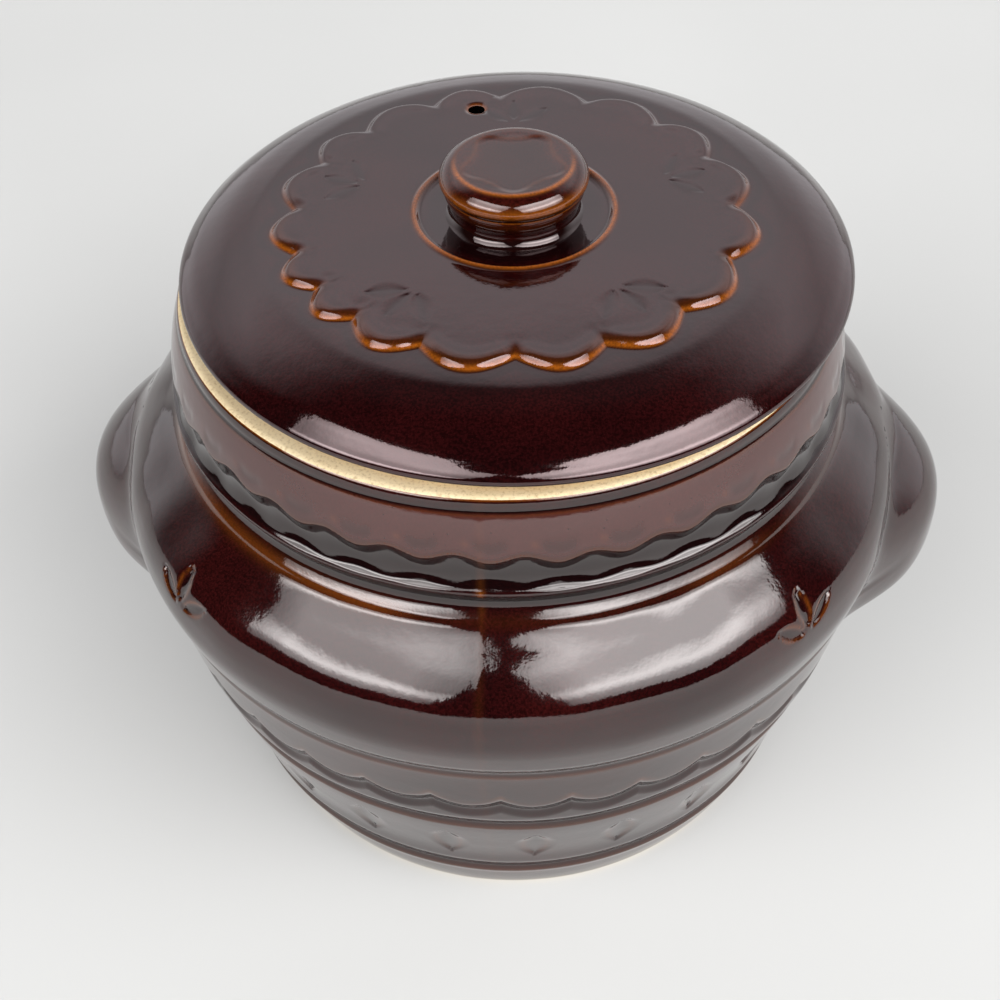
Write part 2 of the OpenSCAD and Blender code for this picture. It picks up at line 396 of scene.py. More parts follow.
def glaze(name, base, warm, thin_colour, deep, shine):
    """Glossy brown glaze: amber where it runs thin, nearly black where it pools; the same shares
    also carry painted light and painted shade, and a painted sheen lies on the collar.
    """
    mat, tree, shader, where = new_material(name)
    cloud = noise(tree, where, CLOUD_WAVES, 4)
    grain = noise(tree, where, GRAIN_WAVES, 2)
    skin = noise(tree, where, SKIN_WAVES, 3, 0.55)
    # clouds of the warmer brown, and a fine mottle over both
    clouds = ramp(tree, cloud, [(0.35, grey(0)), (0.68, grey(1))])
    mottle = ramp(tree, grain, [(0.38, grey(0.6)), (0.62, grey(1.5))])
    body = mix_colour(tree, clouds, base, warm)
    body = mix_colour(tree, 1.0, body, mottle, "MULTIPLY")
    # painted sheen: a pale brown painted into the collar's colour in place of its reflection of
    # the floor and wall
    body = mix_colour(tree, attribute(tree, "painted_sheen"), body, SHEEN_PAINT)
    # the thin glaze's share, clamped and broken up by the grain
    thin = math_node(tree, "ADD", attribute(tree, "thin"), 0.0, True)
    shake = math_node(tree, "MULTIPLY", grain, GRAIN_SHAKE)
    shake = math_node(tree, "ADD", shake, -GRAIN_SHAKE / 2)
    shake = math_node(tree, "MULTIPLY", thin, shake)
    shaken = math_node(tree, "MULTIPLY", thin, math_node(tree, "ADD", shake, 1.0), True)
    colour = mix_colour(tree, shaken, body, thin_colour)
    colour = mix_colour(tree, attribute(tree, "pool"), colour, deep)
    # dark pinholes
    pits = node(tree, "ShaderNodeTexVoronoi", in_Scale=PIT_WAVES, in_Randomness=1.0)
    tree.links.new(where, pits.inputs["Vector"])
    specks = ramp(tree, pits.outputs["Distance"], [(0.05, grey(0.35)), (0.11, grey(1))])
    colour = mix_colour(tree, PIT_SHARE, colour, specks, "MULTIPLY")
    tree.links.new(colour, shader.inputs["Base Color"])
    rough = map_range(tree, cloud, 0.3, 0.7, *GLAZE_ROUGH)
    tree.links.new(rough, shader.inputs["Roughness"])
    height = math_node(tree, "ADD", skin, math_node(tree, "MULTIPLY", grain, GRAIN_BUMP))
    bumps(tree, height, 0.35, 0.00012, shader)
    shader.inputs["IOR"].default_value = GLAZE_IOR
    shader.inputs["Specular Tint"].default_value = (*shine, 1)
    return mat


def clay(name):
    """Bare fired stoneware."""
    mat, tree, shader, where = new_material(name)
    patch = noise(tree, where, 60, 4)
    sand = noise(tree, where, 1400, 3, 0.6)
    tint = ramp(tree, patch, [(0.3, (0.74, 0.58, 0.34)), (0.7, (0.84, 0.69, 0.44))])
    dots = ramp(tree, sand, [(0.3, (0.72, 0.66, 0.6)), (0.5, grey(1))])
    colour = mix_colour(tree, 1.0, tint, dots, "MULTIPLY")
    tree.links.new(colour, shader.inputs["Base Color"])
    rough = map_range(tree, sand, 0.0, 1.0, 0.62, 0.85)
    tree.links.new(rough, shader.inputs["Roughness"])
    bumps(tree, sand, 0.5, 0.0001, shader)
    return mat


# each glaze: its brown, the warmer brown of its clouds, its colours where it is thin and
# where it pools (also used for painted light and painted shade), and the tint of what it mirrors
AMBER = (0.245, 0.063, 0.0045)
POOLED = (0.003, 0.0008, 0.0010)
pot_glaze = glaze("pot_glaze", (0.011, 0.0011, 0.0013), (0.020, 0.0020, 0.0019),
                  AMBER, POOLED, (1.0, 0.95, 0.94))
lid_glaze = glaze("lid_glaze", (0.008, 0.0008, 0.0010), (0.015, 0.0015, 0.0016),
                  AMBER, POOLED, (1.0, 0.79, 0.80))
knob_glaze = glaze("knob_glaze", (0.016, 0.0015, 0.0014), (0.030, 0.0036, 0.0018),
                   (0.285, 0.074, 0.0045), (0.005, 0.0011, 0.0010), (1.0, 0.85, 0.84))
bare_clay = clay("bare_clay")
UNSEEN_THIN = 0.05        # the glaze's thin share inside the pot and under the lid

# ---------------------------------------------------------------- the pot
# radius and height from the foot up to the seat's outer edge
OUTSIDE = smooth_curve([
    (66.0, 0.0), (69.0, 0.0), (71.6, 0.15), (72.7, 1.6), (74.5, 6.2), (76.1, 11.0), (77.6, 15.5),
    (79.3, 24.8), (81.9, 34.0), (84.7, 43.2), (86.3, 49.0), (87.4, 52.5), (88.3, 57.1),
    (89.2, 61.8), (90.0, 66.4), (90.8, 71.0), (91.7, 75.6), (92.9, 80.2), (94.1, 84.9),
    (94.75, 88.0), (94.95, 91.0), (94.6, 94.6), (94.1, 97.0), (93.4, 99.0), (92.3, 101.1),
    (90.4, 103.5), (87.8, 106.0), (85.3, 108.1), (82.9, 110.0), (80.7, 111.9), (79.75, 113.0),
    (79.2, 114.0), (78.4, 114.9), (77.4, 116.2), (76.95, 117.9), (77.4, 119.7), (78.7, 121.1),
    (79.25, 122.3), (78.7, 126.5), (78.0, 131.0), (77.1, 135.5), (76.0, 139.3), (75.3, 141.2),
    (74.85, 142.1), (74.8, 142.7), (74.7, 143.4), (74.4, 144.2), (73.9, 144.75),
    (73.4, 144.96), (SEAT_R, SEAT_Z)])
# and from there over the mouth's edge down to the floor
INSIDE = smooth_curve([
    (SEAT_R - 0.01, SEAT_Z), (70.0, SEAT_Z), (67.2, SEAT_Z), (66.2, 144.6), (66.0, 143.6),
    (66.1, 140.0), (67.0, 137.0), (69.6, 134.0), (70.8, 130.5), (71.0, 124.0), (72.0, 118.5),
    (76.0, 111.5), (82.0, 105.0), (86.6, 98.5), (88.4, 91.5), (88.0, 85.0), (86.3, 78.0),
    (83.4, 65.0), (80.0, 50.0), (76.0, 36.0), (71.8, 22.0), (67.0, 13.5), (58.0, 8.9),
    (45.0, FLOOR), (20.0, FLOOR)], 12)

# spacing of the outside's rows below each height, finest where the relief is
POT_STEPS = ((2, 0.6), (11, 1.2), (19, 0.42), (43, 0.62), (56, 0.42), (68, 0.4), (75, 0.9),
             (80, 0.55), (104.5, 0.48), (112, 0.6), (123, 0.42), (138.5, 0.38))


def lobe(az, phase):
    """0 at a notch between two hanging scallops, 1 at the lowest point of one."""
    u = ((az - phase) / PITCH) % 1.0 - 0.5
    return np.abs(np.cos(math.pi * u)) ** 0.8


def lip(z, edge, above, below):
    """1 at a lower edge, fading upwards over above and downwards over below."""
    up = np.clip((z - edge) / above, 0, 1)
    down = np.clip((edge - z) / below, 0, 1)
    return np.where(z >= edge, (1 - up) ** 2 * (1 + 2 * up), (1 - down) ** 2 * (1 + 2 * down))


def leaf(a, b, length, width):
    """Depth share of a leaf-shaped hollow in its own axes: 1 in its middle, -1 far outside."""
    half = width / 2 * (1 - (2 * a / length) ** 2)
    inside = np.clip(1 - np.abs(b) / np.maximum(half, 0.05), -1, 1)
    return np.where(np.abs(a) < length / 2, inside, -1)


def lower_body(relief, az, z, wave):
    """Plain steps of the base and the lower body, and the scalloped one between two of them."""
    for level, waver, deep, above in PLAIN_STEPS:
        edge = level + waver * wave
        g = lip(z, edge, above, STEP_BELOW)
        relief.high -= deep * g
        relief.pools(STEP_POOL * g)
        relief.thins(0.16 * bell(z - edge + 1.6, 0.8))
    c = lobe(az, LOWER_PHASE)
    edge = LOWER_Z - LOWER_HANG * c + 0.4 * wave
    above = 5.6 - 1.2 * c
    g = lip(z, edge, above, 2.6)
    relief.high -= LOWER_DEPTH * g
    relief.pools(STEP_POOL * g)
    relief.thins(0.3 * bell(z - edge - above, 1.0) * (0.25 + 0.75 * (1 - c) ** 2))


def collar(relief, az, z, wave):
    """Hanging scallops over a recessed band; gives the height of their lower edge."""
    u = (az - COLLAR_PHASE) / PITCH
    c = 0.5 + 0.5 * np.cos(TAU * u)
    sag = SAG_Z - COLLAR_HANG * c + 0.5 * wave
    band = ease(z, BAND_Z - 0.2, BAND_Z + 0.8)
    relief.high -= BAND_DEPTH * (1 - ease(z, sag - 0.6, sag + 0.5)) * band
    # a hollow under each scallop, and a faint crescent and cusp on it
    cove = np.sin(math.pi * np.clip((z - BAND_Z) / (sag - BAND_Z), 0, 1))
    relief.high -= (0.95 + 0.35 * c) * cove
    crescent = bell(z - sag - 3.6, 1.5) * ease(c, 0.3, 0.8)
    relief.high -= 0.14 * crescent
    relief.pools(0.35 * crescent)
    relief.thins(0.12 * bell(wrap(TAU * u + 2.2), 0.35) * bell(z - sag - 3.4, 0.8))
    relief.thins(0.2 * bell(z - sag - 0.6, 0.4))
    # the recessed band under the scallops is darkened: pooled glaze, and a painted dark reflection
    relief.pools(0.8 * fall(z - sag, -1.4, -0.2) * band)
    return sag


def neck(relief, az, z):
    """Glaze in the channel under the collar, darkened there as painted shade too, on the
    shoulder's edge and round the rim.
    """
    # the channel under the collar is painted nearly black in full: pooled glaze and painted shade
    # in the groove
    relief.pools(bell(z - CHANNEL_Z, 2.0))
    patches = ease(Noise(11, 9, 7, 0.05)(az, z), -0.1, 0.8)
    relief.thins((0.04 + 0.28 * patches) * bell(z - SHOULDER_Z, 1.5))
    relief.pools(0.9 * bell(z - CREASE_Z, 0.32))
    relief.thins(0.15 * bell(z - COLLAR_TOP_Z, 0.35))
    relief.thins(0.7 * bell(z - BEAD_EDGE_Z, 0.16))


def seams(relief, az, z):
    """Seams of the two-part mould, front and back."""
    for at in (0.0, math.pi):
        line = bell(wrap(az - at) * SKIN_R, 0.9)
        proud = 0.025 + 0.035 * ease(z, 116, 121)
        relief.high += proud * line * ease(z, 3, 10) * fall(z, 139, 141.5)
        relief.thins(line * (0.05 + 0.5 * bell(z - 123, 6)))


def pressed_leaves(relief, az, z):
    """Sprigs of three leaves in the shoulder, and upright leaves above the base."""
    for at in SPRIG_AZ:
        d = wrap(az - math.radians(at)) * SKIN_R
        for lean, dx, dz in SPRIG_LEAVES:
            a, b = in_axes(d - dx, (z - SPRIG_Z) * 1.15 - dz, math.radians(90 - lean))
            h = leaf(a, b, *SPRIG_LEAF)
            relief.high -= 0.65 * ease(h, -0.35, 0.8)
            relief.thins(0.35 * bell(h - 0.05, 0.22) * (np.abs(a) < 5.4))
            relief.pools(0.6 * ease(h, 0.35, 0.9))
    d = (((az / TAU * BAND_LEAVES) % 1.0) - 0.5) * TAU / BAND_LEAVES * BAND_LEAF_R
    a = z - BAND_LEAF_Z
    h = leaf(a, d, *BAND_LEAF)
    relief.high -= 0.5 * ease(h, -0.8, 0.9)
    relief.thins(0.18 * bell(h - 0.05, 0.2) * (np.abs(a) < 8.5))
    relief.pools(0.5 * ease(h, 0.4, 0.9))


def pot_relief(az, z):
    """The relief of the pot's outside, and the share of painted sheen on its collar."""
    relief = Relief(az, z)
    wave = Noise(3, 7, 9, 0.02)(az, z)
    lower_body(relief, az, z, wave)
    sag = collar(relief, az, z, wave)
    neck(relief, az, z)
    seams(relief, az, z)
    pressed_leaves(relief, az, z)
    # slight unevenness of the glaze itself, more of it on the shoulder but not at its front
    relief.high += 0.07 * Noise(5, 14, 16, 0.12)(az, z)
    shoulder = ease(z, 84, 96) * fall(z, 108, 115) * (1 - bell(wrap(az), 0.2))
    relief.high += 0.08 * Noise(8, 12, 34, 0.28)(az, z) * shoulder
    # painted sheen over the collar, from just above its scallops' edge up to the crease under the
    # rim bead
    painted_sheen = 0.48 * ease(z, sag + 0.3, sag + 2.0) * fall(z, CREASE_Z - 1.5, CREASE_Z)
    return relief, painted_sheen


def lug_radius(az, z):
    """Radius of the lugs' rounded disc along each direction from the pot's axis."""
    up = (z - LUG_Z) / LUG_RISE
    down = (LUG_Z - z) / LUG_DROP
    top = LUG_R - LUG_ROUND * (1 - (1 - np.clip(up, 0, 1) ** 3) ** (1 / 1.2))
    top = top - LUG_OVER * LUG_RISE * np.maximum(up - 1, 0)
    base = LUG_R - LUG_UNDER * (1 - np.sqrt(1 - np.clip(down, 0, 1) ** 2))
    base = base - LUG_BELOW * LUG_DROP * np.maximum(down - 1, 0)
    disc = np.maximum(np.where(z > LUG_Z, top, base), 0)
    from_x = np.minimum(np.abs(wrap(az - math.pi / 2)), np.abs(wrap(az + math.pi / 2)))
    reach = disc ** 2 - (LUG_X * np.sin(from_x)) ** 2
    r = LUG_X * np.cos(from_x) + np.sqrt(np.maximum(reach, 0))
    return np.where(reach > 0, r, 0)


az = np.arange(COLUMNS) / COLUMNS * TAU - math.pi
outer = spaced(OUTSIDE, lambda r, z: first_above(z, POT_STEPS, 0.25))
inner = spaced(INSIDE, lambda r, z: 0.7 if z > 136 else 2.6)[1:]
heights = outer[:, 1:]
plain = turned(az, outer[:, :1], heights)
relief, painted_sheen = pot_relief(az, heights)
# the relief dies away on the foot and on the flat seat
keep = ease(heights, 0.5, 4) * fall(heights, 142.5, 144.2)
body = plain + normals_of(plain) * (relief.high * keep)[..., None]

# the lugs swell out of the belly, with a fillet where the two meet
body_r = np.hypot(body[..., 0], body[..., 1])
lug_r = lug_radius(az, body[..., 2])
near = np.clip(LUG_FILLET - np.abs(lug_r - body_r), 0, None) / LUG_FILLET
full_r = np.maximum(lug_r, body_r) + near ** 2 * LUG_FILLET / 4
is_lug = (lug_r > body_r - LUG_FILLET) & (lug_r > 0)
full_r = np.where(is_lug, full_r, body_r)
full = body.copy()
full[..., :2] *= (full_r / body_r)[..., None]
on_lug = np.exp(-(full_r - body_r) / LUG_FADE)
thin = np.clip(relief.thin, 0, 1) * on_lug
pool = np.clip(relief.pool, 0, 1) * on_lug

# the pot itself is sunk a little under the lugs, so that only one surface shows
sink = np.zeros(is_lug.shape)
covered = is_lug.astype(float)
for _ in range(SINK_STEPS):
    covered = np.minimum.reduce([covered, np.roll(covered, 1, 0), np.roll(covered, -1, 0),
                                 np.roll(covered, 1, 1), np.roll(covered, -1, 1)])
    sink += covered * LUG_SINK
under_lug = body - normals_of(body) * sink[..., None]

inner_grid = turned(az, inner[:, :1], inner[:, 1:])
full_n = normals_of(np.concatenate([full, inner_grid]))
pot_grid = np.concatenate([np.where(is_lug[..., None], under_lug, full), inner_grid])
below = ((0, len(inner)), (0, 0))
lug_cover = np.pad(is_lug, below)
pot_n = np.where(lug_cover[..., None], normals_of(pot_grid), full_n)
quads, tris = closed_faces(len(pot_grid), COLUMNS, 1)

# bare clay: the seat, the rim bead's top and the foot
profile = np.concatenate([outer, inner])
mid = (profile[1:] + profile[:-1]) / 2
row_of = np.arange(len(mid))
is_outer = row_of < len(outer)
seat_row = (row_of >= len(outer) - 1) & (mid[:, 0] > MOUTH_R + 0.3) & (mid[:, 1] > SEAT_Z - 0.8)
bead_row = is_outer & (mid[:, 1] > BARE_Z)
foot_row = is_outer & (mid[:, 1] < 0.9)
bare = np.repeat(seat_row | bead_row | foot_row, COLUMNS)
index = np.concatenate([bare.astype(int), np.ones(COLUMNS, int), np.zeros(COLUMNS, int)])
pot_thin = np.pad(thin, below, constant_values=UNSEEN_THIN)
pot = make_mesh("pot_glazed", with_middles(pot_grid, (0, 0, 0), (0, 0, FLOOR)), quads, tris,
                with_middles(pot_n, (0, 0, -1), (0, 0, 1)),
                {"thin": with_middles(pot_thin, 0, 0),
                 "pool": with_middles(np.pad(pool, below), 0, 0),
                 "painted_sheen": with_middles(np.pad(painted_sheen, below), 0, 0)},
                [pot_glaze, bare_clay], index)
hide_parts("pot_body")
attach(pot, "pot")


def make_lug(name, cad_node, centre):
    """The raised part of the grid, closed at the back by the belly's own surface."""
    raised = is_lug & (np.abs(wrap(az - centre)) < math.pi / 2)
    # a face belongs to the lug when any of its corners is raised
    touched = raised[:-1] | raised[1:]
    touched = touched | np.roll(touched, -1, 1)
    i, j = np.nonzero(touched)
    k = (j + 1) % COLUMNS
    corners = np.stack([i * COLUMNS + j, i * COLUMNS + k, (i + 1) * COLUMNS + k,
                        (i + 1) * COLUMNS + j], -1)
    used, front = np.unique(corners, return_inverse=True)
    front = front.reshape(-1, 4)
    # raised vertices have a second one behind them, the others are shared by both faces
    lifted = flat(raised)[used]
    behind = used[lifted]
    back_of = np.arange(len(used))
    back_of[lifted] = len(used) + np.arange(len(behind))
    faces = np.vstack([front, back_of[front][:, ::-1]])
    verts = np.vstack([flat(full)[used], flat(body)[behind]])
    norms = np.vstack([flat(full_n)[used], -flat(normals_of(body))[behind]])
    fields = {key: np.append(flat(values)[used], flat(values)[behind])
              for key, values in (("thin", thin), ("pool", pool))}
    lug = make_mesh(name, verts, faces, np.zeros((0, 3), int), norms, fields, [pot_glaze])
    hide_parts(cad_node)
    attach(lug, "pot")


make_lug("lug_right", "handle_right", math.pi / 2)
make_lug("lug_left", "handle_left", -math.pi / 2)

# ---------------------------------------------------------------- the lid
# radius and height above the seat, from the knob's foot out to the lid's sole
DOME = smooth_curve([
    (6.0, 15.35), (14.0, 15.35), (19.0, 15.35), (24.0, 15.4), (40.0, 15.2), (50.0, 14.95),
    (56.0, 14.7), (59.2, 14.2), (64.8, 12.6), (70.3, 9.9), (73.4, 7.6), (74.75, 6.3),
    (75.05, 5.5), (74.8, 4.7), (73.8, 3.6), (72.4, 2.3), (71.0, 1.0), (70.1, 0.25), (69.4, 0.0)])
# and on over the sole and the flange to the middle of the underside
UNDER = smooth_curve([
    (69.4, 0.0), (67.5, 0.0), (64.2, 0.0), (63.2, -0.5), (63.0, -1.5), (62.8, -4.6),
    (62.2, -5.8), (61.2, -6.0), (60.2, -5.9), (59.4, -5.0), (58.8, -2.0), (58.0, 2.0),
    (55.6, 6.2), (49.0, 8.4), (44.0, 9.0), (26.0, 9.5), (8.0, 9.6)], 16)
SOLE_Z = 1.0              # the lid is bare below this height, on its sole and its flange
LID_EDGE_Z = 9.0
# spacing of the rows within each radius, above and below
DOME_STEPS = ((17, 1.0), (25, 0.30), (30, 0.6), (38.5, 0.5), (47.5, 0.42), (57, 0.36), (66, 0.9))
UNDER_STEPS = ((39, 2.0), (47, 0.42), (52, 2.0))


def medallion_edge(az):
    """Radius of the scalloped edge, and how far each direction is from a notch."""
    a = np.degrees(wrap(az))
    ends = np.array(NOTCHES + (NOTCHES[0] + 360,), float)
    a = np.where(a < ends[0], a + 360, a)
    k = np.clip(np.searchsorted(ends, a, side="right") - 1, 0, len(NOTCHES) - 1)
    t = (a - ends[k]) / (ends[k + 1] - ends[k])
    rise = np.sin(math.pi * np.clip(t, 0, 1)) ** 1.05
    notch = np.minimum(t, 1 - t) * np.radians(ends[k + 1] - ends[k]) * NOTCH_R
    return MEDALLION_R + SCALLOP_RISE * rise, notch


def lid_relief(az, r):
    """The relief of the lid's top, as height above the dome."""
    relief = Relief(az, r)
    edge, notch = medallion_edge(az)
    d = edge - r
    # the medallion, a little thicker along its edge
    relief.high += MEDALLION_HEIGHT * ease(d, -0.8, 1.5)
    relief.high += 0.24 * bell(d - 2.6, 2.0)
    # a crease runs in from each notch
    relief.high -= 0.5 * bell(notch, 2.3) * ease(r, 42.5, 49.0) * ease(d, -0.5, 1.5)
    # the scallops' edge is amber where its glaze runs thin, all round; the much stronger amber at
    # the front is painted light
    front = 0.12 + 0.88 * ease(np.cos(az), -0.45, 0.35)
    relief.thins((0.95 * bell(d - 0.05, 0.48) + 0.12 * bell(d - 1.5, 1.3)) * front)
    relief.pools(0.85 * bell(d + 2.6, 1.4))
    # ring round the knob, with a dish inside it that fills with glaze
    relief.high -= DISH_DEPTH * fall(r, RING_R - 1.6, RING_R)
    relief.high += RING_HEIGHT * bell(r - RING_R, 0.7)
    relief.thins(bell(r - RING_R, 0.6))
    relief.pools(0.85 * fall(r, DISH_R, DISH_R + 2.4))
    # sprigs of three pressed leaves
    for i in range(LID_SPRIGS):
        from_mid = wrap(az - math.radians(36 + 360 / LID_SPRIGS * i))
        x = r * np.cos(from_mid) - LID_SPRIG_R
        y = r * np.sin(from_mid)
        for turn in (-50, 0, 50):
            a, b = in_axes(x, y, math.radians(turn))
            h = leaf(a - 6.1, b, *LID_LEAF)
            relief.high -= 0.15 * ease(h, -0.95, 0.95)
            relief.pools(0.8 * ease(h, -0.2, 0.9))
    # slight unevenness, and glaze that gathers outside the medallion
    relief.high += 0.05 * Noise(21, 12, 9, 0.2)(az, r)
    relief.pools(0.35 * bell(r - 57.5, 2.2) * fall(d, -3.0, -1.5))
    return relief


def row_on_hole(profile, face):
    """Shifts the rows of a face so that one lies on the steam hole's radius, and gives it."""
    row = int(np.argmin(np.where(face, np.abs(profile[:, 0] - STEAM_AT), np.inf)))
    profile[:, 0] += bell(profile[:, 0] - STEAM_AT, 6) * (STEAM_AT - profile[row, 0]) * face
    return row


laz = np.arange(LID_COLUMNS) / LID_COLUMNS * TAU - math.pi + STEAM_AZ % (TAU / LID_COLUMNS)
upper = spaced(DOME, lambda r, z: 0.45 if z < LID_EDGE_Z else first_above(r, DOME_STEPS, 0.7))
lower = spaced(UNDER, lambda r, z: first_above(r, UNDER_STEPS, 0.6))[1:]
on_top = upper[:, 1] > LID_TOP_Z
upper_row = row_on_hole(upper, on_top)
lower_row = row_on_hole(lower, lower[:, 1] > LID_UNDER_Z)
relief = lid_relief(laz, upper[:, :1])
relief.keep_on(on_top[:, None])
relief.thins(0.35 * bell(upper[:, 1:] - 0.9, 0.5) * ~on_top[:, None])
top = turned(laz, upper[:, :1], upper[:, 1:] + relief.high)
bottom = turned(laz, lower[:, :1], lower[:, 1:])

# steam hole: a block of cells is left out of both faces and drawn to a circle
mid_col = int(np.argmin(np.abs(wrap(laz - STEAM_AZ))))
half_cols = int(round(STEAM_R / (TAU / LID_COLUMNS * STEAM_AT)))
hole = turned(STEAM_AZ, STEAM_AT, 0.0)


def open_hole(grid, r, row, lift):
    """Draws the cells round the hole to a circle and rounds its edge; gives its half rows."""
    step = abs(r[row + 1] - r[row - 1]) / 2
    n = max(2, int(round(STEAM_R / step)))
    outwards = 1 if r[row + 1] > r[row] else -1
    for i in range(row - HOLE_SPAN * n, row + HOLE_SPAN * n + 1):
        for j in range(mid_col - HOLE_SPAN * half_cols, mid_col + HOLE_SPAN * half_cols + 1):
            u, v = (j - mid_col) / half_cols, (i - row) / n
            m = max(abs(u), abs(v))
            if m == 0:
                continue
            col = j % LID_COLUMNS
            a = laz[col] - STEAM_AZ
            x, y = r[i] * math.sin(a), r[i] * math.cos(a) - STEAM_AT
            ang = math.atan2(v * outwards, u)
            share = 1 - ease(m, 1.0, HOLE_BLEND)
            x = (1 - share) * x + share * m * STEAM_R * math.cos(ang)
            y = (1 - share) * y + share * m * STEAM_R * math.sin(ang)
            far = math.hypot(x, y + STEAM_AT)
            aim = STEAM_AZ + math.atan2(x, y + STEAM_AT)
            grid[i, col, 0] = far * math.sin(aim)
            grid[i, col, 1] = -far * math.cos(aim)
            grid[i, col, 2] += lift * math.exp(-((m - 1) / HOLE_LIP) ** 2)
    return n


upper_half = open_hole(top, upper[:, 0], upper_row, -0.45)
lower_half = open_hole(bottom, lower[:, 0], lower_row, 0.3)
# the glaze runs thin round the hole
from_hole = np.hypot(top[..., 0] - hole[0], top[..., 1] - hole[1]) - STEAM_R
relief.thins(0.6 * bell(from_hole, 0.55))
lid_grid = np.concatenate([top, bottom])


def block_faces(row, n):
    """Faces of the block that the hole takes out."""
    i, j = np.meshgrid(np.arange(row - n, row + n),
                       np.arange(mid_col - half_cols, mid_col + half_cols) % LID_COLUMNS,
                       indexing="ij")
    return (i * LID_COLUMNS + j).ravel()


def block_loop(row, n):
    """Vertices round the block, as rows and columns."""
    r0, r1, c0, c1 = row - n, row + n, mid_col - half_cols, mid_col + half_cols
    loop = [(r0, c) for c in range(c0, c1)] + [(r, c1) for r in range(r0, r1)]
    loop += [(r1, c) for c in range(c1, c0, -1)] + [(r, c0) for r in range(r1, r0, -1)]
    return loop


def loop_angle(ij):
    """Direction of a vertex from the hole's middle."""
    p = lid_grid[ij[0], ij[1] % LID_COLUMNS]
    return math.atan2(p[1] - hole[1], p[0] - hole[0])


def bridge(loop_a, loop_b):
    """Triangles between two loops of vertices round the same hole, by their angles."""
    a, b = (sorted(loop, key=loop_angle) for loop in (loop_a, loop_b))
    ida, idb = ([i * LID_COLUMNS + j % LID_COLUMNS for i, j in loop] for loop in (a, b))
    ta, tb = ([loop_angle(x) for x in loop] for loop in (a, b))
    between, i, j = [], 0, 0
    while i < len(a) or j < len(b):
        na = ta[(i + 1) % len(a)] + (TAU if i + 1 >= len(a) else 0)
        nb = tb[(j + 1) % len(b)] + (TAU if j + 1 >= len(b) else 0)
        if i < len(a) and (j >= len(b) or na <= nb):
            between.append((ida[i % len(a)], idb[j % len(b)], ida[(i + 1) % len(a)]))
            i += 1
        else:
            between.append((ida[i % len(a)], idb[j % len(b)], idb[(j + 1) % len(b)]))
            j += 1
    return np.array(between)


# the lid is set on the seat a little turned and off centre, with the knob on it
SPIN = np.array([[math.cos(LID_TURN), math.sin(LID_TURN), 0],
                 [-math.sin(LID_TURN), math.cos(LID_TURN), 0], [0, 0, 1]])


def set_down(points):
    return points @ SPIN + np.array([*LID_AT, SEAT_Z])


quads, tris = closed_faces(len(lid_grid), LID_COLUMNS, -1)
kept = np.ones(len(quads), bool)
kept[block_faces(upper_row, upper_half)] = False
kept[block_faces(len(top) + lower_row, lower_half)] = False
wall = bridge(block_loop(upper_row, upper_half), block_loop(len(top) + lower_row, lower_half))
tris = np.vstack([tris, wall])
profile = np.concatenate([upper, lower])
bare_row = (profile[1:, 1] + profile[:-1, 1]) / 2 < SOLE_Z
index = np.concatenate([np.repeat(bare_row, LID_COLUMNS)[kept].astype(int),
                        np.zeros(len(tris), int)])
verts = with_middles(lid_grid, (0, 0, lid_grid[0, 0, 2]), (0, 0, lower[-1, 1]))
norms = with_middles(-normals_of(lid_grid), (0, 0, 1), (0, 0, -1))
below = ((0, len(lower)), (0, 0))
lid_thin = np.pad(relief.thin, below, constant_values=UNSEEN_THIN)
lid = make_mesh("lid_glazed", set_down(verts), quads[kept], tris, norms @ SPIN,
                {"thin": with_middles(lid_thin, 0, 0),
                 "pool": with_middles(np.pad(relief.pool, below), 0, 0)},
                [lid_glaze, bare_clay], index)
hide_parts("lid")
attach(lid, "lid")

# ---------------------------------------------------------------- the knob
# radius and height above the seat, from the knob's foot up to the middle of its crest
KNOB = smooth_curve([
    (16.6, 15.5), (15.5, 15.7), (14.5, 16.3), (13.8, 17.2), (13.6, 18.1), (13.95, 19.2),
    (14.6, 20.3), (15.15, 21.4), (15.4, 22.4), (15.35, 22.95), (15.3, 23.1), (15.5, 23.35),
    (16.1, 24.3), (16.25, 25.1), (16.1, 25.85), (15.75, 26.55), (15.25, 27.2), (14.65, 27.75),
    (13.9, 28.2), (13.1, 28.48), (12.4, 28.58), (11.6, 28.54), (10.8, 28.45), (9.6, 28.38),
    (6.0, 28.35), (2.0, 28.35)])
STAR_R, STAR_DEPTH = 10.0, 0.2
CREST_R = 12.9            # where the knob's top turns into its side
KNOB_SIDE_R = 14.0        # the knob's side lies outside this radius, its neck inside
PARTING_Z = 23.1          # groove round the knob's side


def knob_relief(az, r, z):
    """The relief of the knob: a shallow star in its crest, and its glaze."""
    relief = Relief(az, r)
    star = STAR_R * (1 + 0.125 * np.cos(5 * az) + 0.02 * np.cos(10 * az))
    crest = ease(z, 27.3, 27.6) * fall(r, CREST_R - 1.0, CREST_R)
    # front: the amber on the crest's edge and on the upper side is painted much stronger on the
    # front, as a painted highlight where the lamps fall
    front = 0.15 + 0.85 * ease(np.cos(az), -0.3, 0.5)
    side = r > KNOB_SIDE_R
    d = star - r
    relief.high -= STAR_DEPTH * ease(d, -1.2, 1.4) * crest
    relief.thins(0.1 * bell(d + 0.3, 0.6) * crest)
    relief.thins(0.85 * bell(r - CREST_R, 0.5) * ease(z, 27.6, 28.2) * front)
    relief.thins(0.6 * bell(z - 25.4, 1.1) * side * front)
    relief.thins(0.75 * bell(z - PARTING_Z, 0.14) * side)
    relief.thins(0.07 * bell(z - 21.6, 1.1) * side)
    # the foot's cove pools glaze; the dark band at 24.2, on the underside of the upper bulge, is
    # painted shade
    relief.pools(0.9 * fall(z, 17.0, 18.6) + 0.48 * bell(z - 24.2, 0.6) * side)
    relief.pools(0.35 * ease(d, 0.8, 2.5) * crest)
    return relief


